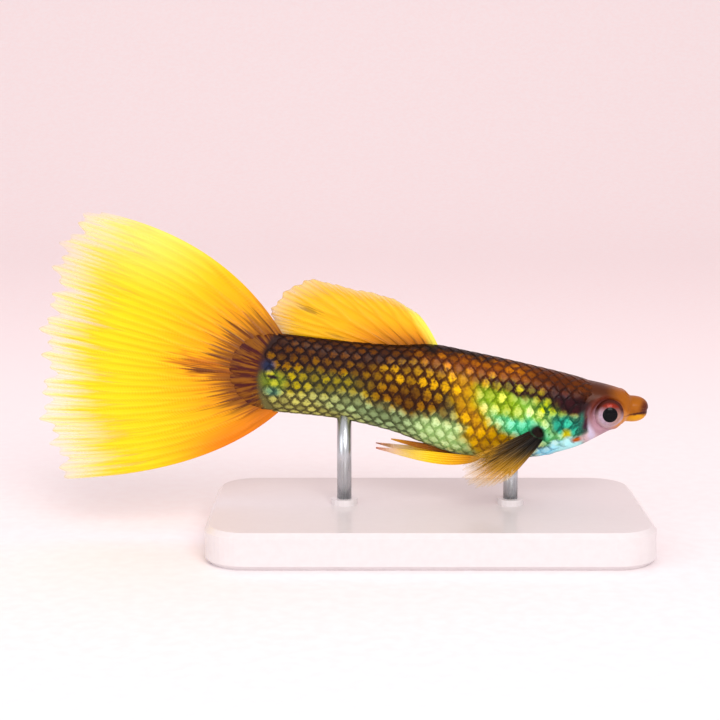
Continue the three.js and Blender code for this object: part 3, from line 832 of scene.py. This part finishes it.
# Dark band of the scale: pigment along its free edge, painted shade around its root under the scale ahead.
edge_pigment_and_root_shade = rise(tree, ragged, 0.7, 1.05, 0, 0.8)
brightness = add(tree, "ShaderNodeRGBToBW", i0=marks.outputs["Ground"]).outputs[0]
dark_share = rise(tree, brightness, 0.14, 0.55, 0.55, 0.15)
dark_edge_and_shade = mix(tree, dark_share, marks.outputs["Ground"], srgb("100A0A"))
drive(
    tree,
    shader,
    Base_Color=mix(tree, edge_pigment_and_root_shade, middle_colour, dark_edge_and_shade),
    Metallic=rise(tree, glow, 0.4, 0.9, 0.0, 0.25),
    Roughness=rise(tree, grain, 0.3, 0.7, 0.3, 0.5),
)
bump(tree, shader, grain, 0.2, 0.00004)
scales = link_piece(bm, "scale_coat", scale_paint)
thicken = scales.modifiers.new("plate", "SOLIDIFY")
thicken.thickness = 0.03 * MM
thicken.offset = -1
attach(scales, "root")

# %% [markdown]
# ## The eyes
#
# The eye is a wet dome with a large black pupil that bulges slightly, a silvery pink ring, a red
# arc above and a rim that is dark above and pale below. It is a profile spun about the eye's axis.
# Rings and arcs are read in the fish's frame as seen from the side, so one finish serves both eyes.

# %% Eye finish and shape
eye_paint, tree, shader = new_material(
    "wet_eye",
    Roughness=0.25,
    Specular_IOR_Level=0.05,
    Coat_Weight=0.18,
    Coat_Roughness=0.02,
)
flat_eye = add(
    tree,
    "ShaderNodeMapping",
    {"vector_type": "TEXTURE"},
    Vector=fish_point(tree),
    Location=(EYE["x"], 0, EYE["z"]),
    Scale=(1, 1e6, 1),
).outputs[0]
reach = length_of(tree, flat_eye)
eye_spot = split(tree, flat_eye)
ahead = eye_spot[0]
up = eye_spot[2]
streaks = noise(tree, flat_eye, 5, 4, 0.7)
iris = mix(tree, rise(tree, ahead, -0.5, 0.9), srgb("BBA2B4"), srgb("B08878"))
iris = mix(tree, rise(tree, up, -0.2, 0.7), iris, srgb("7A4038"))
iris = mix(tree, rise(tree, up, 0.5, 0.74), iris, srgb("8A240E"))
iris = mix(tree, rise(tree, streaks, 0.45, 0.7, 0, 0.45), iris, srgb("6A4048"))
rim_colour = mix(tree, rise(tree, up, -0.6, 0.5), srgb("C0A0A8"), srgb("4A1C14"))
iris = mix(tree, rise(tree, reach, 0.82, 1.05), iris, rim_colour)
colour = mix(tree, rise(tree, reach, 0.65, 0.6), iris, srgb("040408"))
drive(tree, shader, Base_Color=colour, Metallic=rise(tree, reach, 0.6, 0.7, 0.0, 0.2))


def eye_piece(name, side):
    bm = bmesh.new()
    steps = 18
    profile = []
    for i in range(steps + 1):
        r = EYE["radius"] * math.sin(math.pi / 2 * i / steps)
        y = eye_dome(r) + 0.04 * step(r, 0.66, 0.5)
        profile.append(bm.verts.new((r, y, 0)))
    profile.append(bm.verts.new((0.9, 1.1, 0)))
    profile.append(bm.verts.new((0, 1.0, 0)))
    edges = [bm.edges.new(pair) for pair in zip(profile, profile[1:])]
    bmesh.ops.spin(
        bm,
        geom=profile + edges,
        cent=(0, 0, 0),
        axis=(0, 1, 0),
        angle=2 * math.pi,
        steps=48,
        use_merge=True,
    )
    bmesh.ops.remove_doubles(bm, verts=bm.verts, dist=1e-4)
    for v in bm.verts:
        v.co = place(EYE["x"] + v.co.x, side * v.co.y, EYE["z"] + v.co.z)
    bmesh.ops.recalc_face_normals(bm, faces=bm.faces)
    piece = link_piece(bm, name, eye_paint)
    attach(piece, "root")
    return piece


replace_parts(eye_piece("left_eye", 1), "eye_left")
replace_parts(eye_piece("right_eye", -1), "eye_right")
print("eye width:", 2 * EYE["radius"], "mm")

# %% [markdown]
# ## The fins
#
# A fin is a web of skin stretched over soft rays, which fork twice on their way to the margin.
# Each fin here is a grid of points moved onto the fin's sheet, where t runs across the rays and s
# along them. A ray value is stored with each point: it makes the sheet thicker there, through the
# Solidify modifier, so that the ridges stand on both faces, and it colours the rays.

# %% Rays and sheets
def ray_height(t, s, rays, forks):
    """1 on a ray's ridge and 0 on the web between the rays."""
    phase = (t * rays) % 1
    first = 0.25 * step(s, forks[0], forks[0] + 0.2)
    second = 0.125 * step(s, forks[1], forks[1] + 0.2)
    width = 0.17 - 0.11 * step(s, forks[0], 1.0)
    best = 0.0
    for a in (-first, first):
        for b in (-second, second):
            best = max(best, bell(phase - 0.5 - a - b, width))
    return best


def arch(root, control, tip, s):
    return root * (1 - s) ** 2 + control * (2 * s * (1 - s)) + tip * s * s


def fin_piece(name, point_at, rays, columns, rows, forks, material, thick):
    """A fin's sheet. point_at(t, s) gives its place, and thick that of the web and of the rays."""
    bm = bmesh.new()
    bm.loops.layers.uv.new("FinMap")
    deform = bm.verts.layers.deform.verify()
    ray = bm.verts.layers.float.new("ray")
    made = bmesh.ops.create_grid(bm, x_segments=columns, y_segments=rows, size=0.5, calc_uvs=True)
    for v in made["verts"]:
        t = v.co.x + 0.5
        s = v.co.y + 0.5
        v[ray] = ray_height(t, s, rays, forks)
        thin = 1 - 0.65 * s * s
        v[deform][0] = (thick[0] + (thick[1] - thick[0]) * v[ray]) * thin / thick[1]
        v.co = place(*point_at(t, s))
    piece = link_piece(bm, name, material)
    piece.vertex_groups.new(name="thickness")
    thicken = piece.modifiers.new("web", "SOLIDIFY")
    thicken.thickness = thick[1] * MM
    thicken.offset = 0
    thicken.vertex_group = "thickness"
    thicken.use_rim = True
    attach(piece, "root")
    return piece


print("fin tools ready")

# %% [markdown]
# The tail is a fan whose rays bow out from a curved root to a ragged margin. The dorsal fin sweeps
# back over the stalk, and each pectoral fin fans down and back from behind the gill cover. The
# pelvic fins trail under the belly, and so does the gonopodium, the rod into which the male's anal
# fin has grown. Each has a function that gives a point of its sheet, with its root in the skin.

# %% Where each fin lies
TAIL = {"root_half": 3.15, "root_bow": 1.6, "x": 14, "z": 0.5, "reach": 32, "from": -20.5, "spread": 42.7}
DORSAL = {"front": 14.5, "long": 5.0, "sunk": 0.5}
PECTORAL = {"x": 23.35, "z": -2.4, "root_long": 0.7, "sunk": 0.35, "reach": 7.3, "from": 205, "spread": 25}
PELVIC = {"x": 18.6, "y": 0.55, "z": -5.15, "long": 8.7}


def tail_fin_point(t, s):
    across = 2 * t - 1
    root = Vector((TAIL["root_bow"] * (2 * across * across - 1), 0, TAIL["root_half"] * across))
    turn = math.radians(TAIL["from"] + TAIL["spread"] * t)
    ragged = 1 + 0.012 * math.sin(61 * t) + 0.010 * math.sin(143 * t + 1) + 0.008 * math.sin(23 * t + 2)
    reach = TAIL["reach"] * (1 - 0.03 * across**8) * ragged
    tip = Vector((TAIL["x"] - reach * math.cos(turn), 0, TAIL["z"] + reach * math.sin(turn)))
    bow = Vector((-9.8 + 5.9 * across * across, 0, 0.2 + 9.9 * across + 0.8 * across * across))
    p = arch(root, bow, tip, s)
    p.y = 0.35 * s * s * math.sin(3.4 * across + 1.2) + 0.12 * s**3 * math.sin(19 * t)
    return p


DORSAL_MARGIN = [(12.4, 6.0), (9.9, 7.15), (6.4, 7.65), (2.9, 7.9), (0.5, 5.6), (0.7, 3.4)]


def through(points, t):
    """A smooth curve through a few points, t from 0 to 1."""
    last = len(points) - 1
    i = min(int(t * last), last - 1)
    u = t * last - i
    at = [Vector((p[0], 0, p[1])) for p in points]
    before = at[i - 1] if i > 0 else 2 * at[0] - at[1]
    after = at[i + 2] if i + 2 <= last else 2 * at[last] - at[last - 1]
    a = at[i + 1] - before
    b = after - at[i]
    ease = u * u * (3 - 2 * u)
    return at[i] * (1 - ease) + at[i + 1] * ease + (a * (1 - u) - b * u) * (0.5 * u * (1 - u))


def dorsal_fin_point(t, s):
    x = DORSAL["front"] - DORSAL["long"] * t
    root = Vector((x, 0, curve_through("back", x) * DEPTH - DORSAL["sunk"]))
    tip = through(DORSAL_MARGIN, t)
    bow = root.lerp(tip, 0.5)
    bow.z += 0.5 - 0.4 * t * t
    ragged = 1 + 0.01 * math.sin(47 * t) + 0.008 * math.sin(117 * t)
    p = arch(root, bow, root.lerp(tip, ragged), s)
    p.y = 0.55 * s * s + 0.1 * s * s * math.sin(15 * t)
    return p


def pectoral_fin_point(side, t, s):
    fan = math.radians(PECTORAL["from"] + PECTORAL["spread"] * t)
    ragged = 1 + 0.02 * math.sin(40 * t) + 0.02 * math.sin(97 * t)
    reach = PECTORAL["reach"] * (1 - 0.28 * (2 * t - 0.85) ** 2) * ragged
    across = PECTORAL["root_long"] * (t - 0.5)
    out = curve_through("side", PECTORAL["x"]) * WIDTH / 2 - PECTORAL["sunk"]
    root = Vector((PECTORAL["x"] + across, out, PECTORAL["z"] - across))
    return Vector(
        (
            root.x + reach * s * math.cos(fan),
            side * (root.y + 1.2 * math.sin(1.5 * s) + 0.6 * s - 0.6 * (1 - s) ** 8),
            root.z + reach * s * math.sin(fan),
        )
    )


def pelvic_fin_point(side, t, s):
    half = 0.12 + 0.42 * math.sin(math.pi * s**0.8) * (1 - 0.4 * s) - 0.09 * s**4
    middle = PELVIC["z"] - 0.45 * math.sin(math.pi * s**0.6)
    return Vector(
        (
            PELVIC["x"] - PELVIC["long"] * s,
            side * (PELVIC["y"] + 0.35 * math.sin(1.6 * s) + 0.2 * t),
            middle + half * (1 - 2 * t),
        )
    )


def gonopodium_point(t, s):
    root = Vector((17.8, 0, -5.1))
    bow = Vector((14.4, 0, -5.0))
    tip = Vector((11.1, 0, -4.5))
    p = arch(root, bow, tip, s)
    p.z += 0.5 * (t - 0.5) * (1 - 0.85 * s**4)
    return p


print("tail margin from", tail_fin_point(0, 1)[:], "to", tail_fin_point(1, 1)[:])

# %% [markdown]
# The webs hold yellow pigment: deep orange near the body, pure yellow in the middle and almost
# nothing at the margin, where only the rays show. Dark streaks run out along the rays from the
# tail base. All fins share one recipe, a node group. From the map across the fin and the ray value
# it works out how far along a point lies, its streaks and fibres, how well the web covers there and
# a height for the bump. Each fin then places the group with its own values and colours.

# %% Recipe shared by the fins
fin_group, fin_in, fin_out = new_group(
    "rayed_web",
    [
        ("Map", "NodeSocketVector"),
        ("Ray", "NodeSocketFloat"),
        ("Streak Reach", "NodeSocketFloat"),
        ("Clear From", "NodeSocketFloat"),
        ("Least Cover", "NodeSocketFloat"),
    ],
    [(label, "NodeSocketFloat") for label in ("Along", "Streak", "Fibre", "Cover", "Height")],
)
ray = fin_in.outputs["Ray"]
outward = split(fin_group, fin_in.outputs["Map"])[1]
fibre = noise(fin_group, stretched(fin_group, fin_in.outputs["Map"], (60, 2.2, 1)), 1.0, 3, 0.6)
along = math_node(fin_group, "ADD", outward, rise(fin_group, fibre, 0.25, 0.75, -0.1, 0.1))
torn = rise(fin_group, fibre, 0.3, 0.7, -0.14, 0.14)
streak_end = math_node(fin_group, "ADD", fin_in.outputs["Streak Reach"], torn)
near_root = rise(fin_group, math_node(fin_group, "SUBTRACT", streak_end, outward), 0.0, 0.14)
streak = product(fin_group, near_root, rise(fin_group, ray, 0.1, 0.7, 0.4, 1.0))
past_clear = math_node(fin_group, "SUBTRACT", along, fin_in.outputs["Clear From"])
clear = rise(fin_group, past_clear, -0.25, 0.22)
least_cover = fin_in.outputs["Least Cover"]
web_cover = add(
    fin_group,
    "ShaderNodeMix",
    {"data_type": "FLOAT"},
    i0=clear,
    i2=0.96,
    i3=least_cover,
).outputs[0]
ray_cover = rise(fin_group, ray, 0.2, 0.9, 0.0, 0.3)
fading = rise(fin_group, outward, 0.0, 1.0, 1.0, 0.12)
cover = add(
    fin_group,
    "ShaderNodeMath",
    {"operation": "ADD", "use_clamp": True},
    i0=web_cover,
    i1=product(fin_group, ray_cover, fading),
).outputs[0]
rings = math_node(fin_group, "SINE", product(fin_group, outward, 420.0))
for value, label in (
    (along, "Along"),
    (streak, "Streak"),
    (rise(fin_group, fibre, 0.48, 0.72), "Fibre"),
    (cover, "Cover"),
    (product(fin_group, rings, ray), "Height"),
):
    fin_group.links.new(value, fin_out.inputs[label])
print("recipe nodes:", len(fin_group.nodes))

# %% [markdown]
# Each fin's finish places the recipe with its own colours from root to margin. Dashes of pigment
# may be laid over it: a dash is an ellipse on the fin's map whose edge is torn along the rays.

# %% Finish of a fin
LONGER = 0.11


def beside(tree, uv, at):
    """How far a point of the map lies from the place at across the fin, to either side."""
    return math_node(tree, "ABSOLUTE", math_node(tree, "SUBTRACT", split(tree, uv)[0], at))


def fin_paint(
    name,
    stops,
    line_colour,
    streak_colour,
    streak_reach,
    clear_from,
    least_cover,
    long_streaks=(),
):
    """A fin's finish: colour stops from root to margin, and how far streaks and cover reach.

    Each of long_streaks is a place across the fin and a width, where streaks run further out.
    """
    material, tree, shader = new_material(
        name,
        Roughness=0.45,
        Coat_Weight=0.04,
        Specular_IOR_Level=0.18,
    )
    uv = add(tree, "ShaderNodeUVMap", {"uv_map": "FinMap"}).outputs[0]
    ray = add(tree, "ShaderNodeAttribute", {"attribute_name": "ray"}).outputs["Fac"]
    for at, wide in long_streaks:
        longer = rise(tree, beside(tree, uv, at), wide, 0.0, 0.0, LONGER)
        streak_reach = math_node(tree, "ADD", longer, streak_reach)
    web = use_group(
        tree,
        fin_group,
        Map=uv,
        Ray=ray,
        Streak_Reach=streak_reach,
        Clear_From=clear_from,
        Least_Cover=least_cover,
    )
    colour = ramp(tree, web.outputs["Along"], [(at, srgb(code)) for at, code in stops])
    lines = product(tree, web.outputs["Fibre"], 0.45)
    lines = math_node(tree, "MAXIMUM", lines, rise(tree, ray, 0.3, 0.9, 0.0, 0.3))
    colour = mix(tree, lines, colour, srgb(line_colour))
    colour = mix(tree, web.outputs["Streak"], colour, srgb(streak_colour))
    drive(tree, shader, Base_Color=colour, Alpha=web.outputs["Cover"])
    bump(tree, shader, web.outputs["Height"], 0.3, 0.00004)
    return material, tree, shader, uv, colour


def dash(tree, uv, colour, code, t, s, wide, long, most):
    """A torn streak of one colour along the rays, laid over a fin's colour."""
    local = add(
        tree,
        "ShaderNodeMapping",
        {"vector_type": "TEXTURE"},
        Vector=uv,
        Location=(t, s, 0),
        Scale=(wide, long, 1),
    ).outputs[0]
    torn = rise(tree, noise(tree, stretched(tree, uv, (110, 7, 1)), 1.0, 2), 0.3, 0.7, -0.6, 0.6)
    reach = math_node(tree, "ADD", length_of(tree, local), torn)
    return mix(tree, rise(tree, reach, 1.4, 0.3, 0, most), colour, srgb(code))


print("longest streaks reach", LONGER, "further out")

# %% [markdown]
# The tail is golden, orange along its lower edge and paler towards its top. The brown of its rays'
# bases fades out within a quarter of its length and a dark dash lies in its middle. In three places
# the streaks run further out than elsewhere.

# %% Tail fin
tail_paint, tree, shader, uv, colour = fin_paint(
    "tail_web",
    [
        (0.0, "8A4A0A"),
        (0.1, "D88A04"),
        (0.25, "F2A800"),
        (0.5, "FCCC00"),
        (0.8, "FFDE14"),
        (1.0, "FFF08C"),
    ],
    line_colour="E49A00",
    streak_colour="4A240A",
    streak_reach=0.14,
    clear_from=0.88,
    least_cover=0.05,
    long_streaks=((0.2, 0.1), (0.84, 0.1), (0.5, 0.12)),
)
across, outward = split(tree, uv)[:2]
low_edge = product(tree, rise(tree, across, 0.16, 0.0), rise(tree, outward, 0.7, 0.25))
colour = mix(tree, low_edge, colour, srgb("E07A04"))
pale_top = product(tree, rise(tree, across, 0.72, 1.0), rise(tree, outward, 0.35, 0.85))
colour = mix(tree, product(tree, pale_top, 0.7), colour, srgb("FFE87A"))
torn = rise(tree, noise(tree, stretched(tree, uv, (70, 5, 1)), 1.0, 3), 0.3, 0.7, -0.1, 0.1)
brown = rise(tree, math_node(tree, "ADD", outward, torn), 0.22, 0.07, 0.0, 0.8)
brown = product(tree, brown, rise(tree, beside(tree, uv, 0.55), 0.48, 0.28, 0.25, 1.0))
colour = mix(tree, brown, colour, srgb("6E360C"))
colour = dash(tree, uv, colour, "C06A08", 0.5, 0.22, 0.075, 0.14, 0.8)
colour = dash(tree, uv, colour, "5E2C08", 0.475, 0.2, 0.03, 0.09, 0.9)
drive(tree, shader, Base_Color=colour)
tail = fin_piece(
    "tail_fin",
    tail_fin_point,
    rays=16,
    columns=320,
    rows=56,
    forks=(0.3, 0.62),
    material=tail_paint,
    thick=(0.1, 0.28),
)
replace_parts(tail, "caudal_fin")
print("tail fin faces:", len(tail.data.polygons))

# %% [markdown]
# The dorsal fin is a warmer yellow with a pale front edge and two small dark dashes towards its
# rear. It has fewer rays than the tail, and they fork later.

# %% Dorsal fin
dorsal_paint, tree, shader, uv, colour = fin_paint(
    "dorsal_web",
    [(0.0, "9A4E08"), (0.18, "D8860A"), (0.45, "EEAE06"), (0.8, "F0BA16"), (1.0, "F0CA50")],
    line_colour="C88200",
    streak_colour="8A500C",
    streak_reach=0.24,
    clear_from=0.92,
    least_cover=0.3,
)
front = rise(tree, split(tree, uv)[0], 0.2, 0.03)
colour = mix(tree, product(tree, front, 0.85), colour, srgb("F2EA58"))
colour = dash(tree, uv, colour, "7A560A", 0.74, 0.74, 0.02, 0.09, 0.6)
colour = dash(tree, uv, colour, "6A4A0C", 0.9, 0.42, 0.03, 0.1, 0.5)
drive(tree, shader, Base_Color=colour)
dorsal = fin_piece(
    "back_fin",
    dorsal_fin_point,
    rays=8,
    columns=160,
    rows=36,
    forks=(0.45, 0.7),
    material=dorsal_paint,
    thick=(0.09, 0.26),
)
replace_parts(dorsal, "dorsal_fin")
print("dorsal fin faces:", len(dorsal.data.polygons))

# %% [markdown]
# The pectoral and pelvic fins come in pairs, made by one loop in which only the side changes. The
# pectoral ones are nearly black at the root and amber at the margin, the pelvic ones golden with a
# pinkish tip. The gonopodium is a stiff rod without forks, so its web is nearly as thick as its rays.

# %% Paired fins and gonopodium
pectoral_paint, tree, shader, uv, colour = fin_paint(
    "pectoral_web",
    [
        (0.0, "0A0606"),
        (0.27, "140E08"),
        (0.42, "503A10"),
        (0.62, "A87810"),
        (0.8, "DCA016"),
        (1.0, "E8C060"),
    ],
    line_colour="4A360E",
    streak_colour="0E0908",
    streak_reach=0.32,
    clear_from=0.82,
    least_cover=0.04,
)
colour = dash(tree, uv, colour, "2A1C0A", 0.2, 0.4, 0.28, 0.42, 0.85)
drive(tree, shader, Base_Color=colour)
pelvic_paint = fin_paint(
    "pelvic_web",
    [
        (0.0, "C07A0C"),
        (0.25, "EEB00C"),
        (0.5, "FCD214"),
        (0.7, "F8E070"),
        (0.85, "F2C890"),
        (1.0, "E08070"),
    ],
    line_colour="D89A08",
    streak_colour="8A540C",
    streak_reach=0.12,
    clear_from=0.72,
    least_cover=0.4,
)[0]
rod_fin_paint = fin_paint(
    "gonopodium_skin",
    [(0.0, "6A4008"), (0.4, "8A4E06"), (0.75, "B0680C"), (1.0, "DC9C20")],
    line_colour="6A3C08",
    streak_colour="3E2208",
    streak_reach=0.35,
    clear_from=1.4,
    least_cover=0.9,
)[0]
for name, side in (("left", 1), ("right", -1)):
    pectoral = fin_piece(
        f"{name}_pectoral_fin",
        lambda t, s, side=side: pectoral_fin_point(side, t, s),
        rays=12,
        columns=144,
        rows=28,
        forks=(0.5, 0.75),
        material=pectoral_paint,
        thick=(0.07, 0.2),
    )
    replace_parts(pectoral, f"pectoral_fin_{name}")
    pelvic = fin_piece(
        f"{name}_pelvic_fin",
        lambda t, s, side=side: pelvic_fin_point(side, t, s),
        rays=5,
        columns=60,
        rows=32,
        forks=(0.5, 0.75),
        material=pelvic_paint,
        thick=(0.1, 0.24),
    )
    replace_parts(pelvic, f"pelvic_fin_{name}")
NO_FORK = 2
rod_fin = fin_piece(
    "rod_fin",
    gonopodium_point,
    rays=3,
    columns=36,
    rows=40,
    forks=(NO_FORK, NO_FORK),
    material=rod_fin_paint,
    thick=(0.34, 0.5),
)
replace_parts(rod_fin, "gonopodium")
print("fins made")

# %% [markdown]
# ## The stand
#
# The stand is a pale cast-acrylic plate with two steel rods. The plate keeps its solid and is only
# given a finish: a soft gloss with faint rub marks. The rods are made anew from the place and
# length of their solids, a little longer, so that they reach into their collars and into the belly.
# They show fine drawing lines along their length.

# %% Stand finishes
plate_paint, tree, shader = new_material("cast_acrylic", Coat_Weight=0.4, Coat_Roughness=0.1)
rubbed = noise(tree, stretched(tree, object_point(tree), (1200, 1500, 1500)), 1.0, 4, 0.65)
plate_colour = mix(tree, rise(tree, rubbed, 0.3, 0.7), srgb("DDD5D6"), srgb("E0D9DA"))
plate_gloss = rise(tree, rubbed, 0.3, 0.75, 0.34, 0.42)
drive(tree, shader, Base_Color=plate_colour, Roughness=plate_gloss)
steel_paint, tree, shader = new_material("drawn_steel", Metallic=1.0)
drawn = noise(tree, stretched(tree, object_point(tree), (9000, 9000, 120)), 1.0, 3)
steel_colour = mix(tree, drawn, srgb("A9ADB2"), srgb("D5D8DB"))
drive(tree, shader, Base_Color=steel_colour, Roughness=rise(tree, drawn, 0.3, 0.7, 0.2, 0.34))
base_mesh = frame["nodes"]["stand_base"].data
base_mesh.materials.clear()
base_mesh.materials.append(plate_paint)

ROD_RADIUS = 0.6 * MM
ROD_OVERLAP = 0.5 * MM
for end in ("front", "rear"):
    solid = frame["nodes"][f"stand_rod_{end}"]
    corners = [solid.matrix_world @ Vector(corner) for corner in solid.bound_box]
    bottom = min(c.z for c in corners) - ROD_OVERLAP
    top = max(c.z for c in corners) + ROD_OVERLAP
    middle = sum(c.x for c in corners) / len(corners)
    bm = bmesh.new()
    bmesh.ops.create_cone(
        bm,
        segments=48,
        radius1=ROD_RADIUS,
        radius2=ROD_RADIUS,
        depth=top - bottom,
        cap_ends=True,
    )
    bmesh.ops.translate(bm, vec=(middle, 0, (top + bottom) / 2), verts=bm.verts)
    rod = link_piece(bm, f"{end}_rod", steel_paint)
    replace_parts(rod, f"stand_rod_{end}")
    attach(rod, "root")
    print(end, "rod from", round(1000 * bottom, 2), "to", round(1000 * top, 2), "mm")
print("stand finished")
